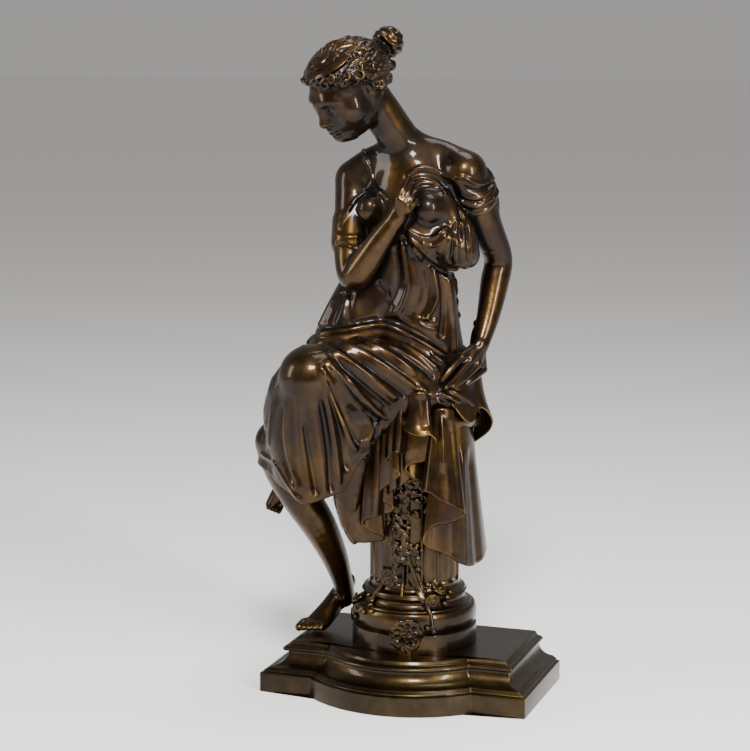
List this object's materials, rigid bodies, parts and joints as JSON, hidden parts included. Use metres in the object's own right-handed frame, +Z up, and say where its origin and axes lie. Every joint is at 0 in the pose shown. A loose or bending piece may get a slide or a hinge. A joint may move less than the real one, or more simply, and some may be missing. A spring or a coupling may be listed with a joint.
{
  "type": "bronze seated woman figure",
  "caption": "Seated draped woman in dark bronze on a fluted column drum with a cast garland, built together with a bow-fronted moulded plinth.",
  "frame": {"origin": "middle of the plinth's rectangular underside, on the surface it stands on", "axes": "+Z up, -Y towards the bowed front of the plinth, +X towards the figure's left hand"},
  "size_m": [0.2767, 0.1846, 0.6259],
  "materials": {
    "plinth": "patinated dark bronze",
    "column": "patinated dark bronze",
    "figure": "patinated dark bronze, rubbed golden on the edges"
  },
  "bodies": {
    "root": {"plinth": "plinth", "column": "column", "seated_figure": "figure"}
  },
  "joints": []
}
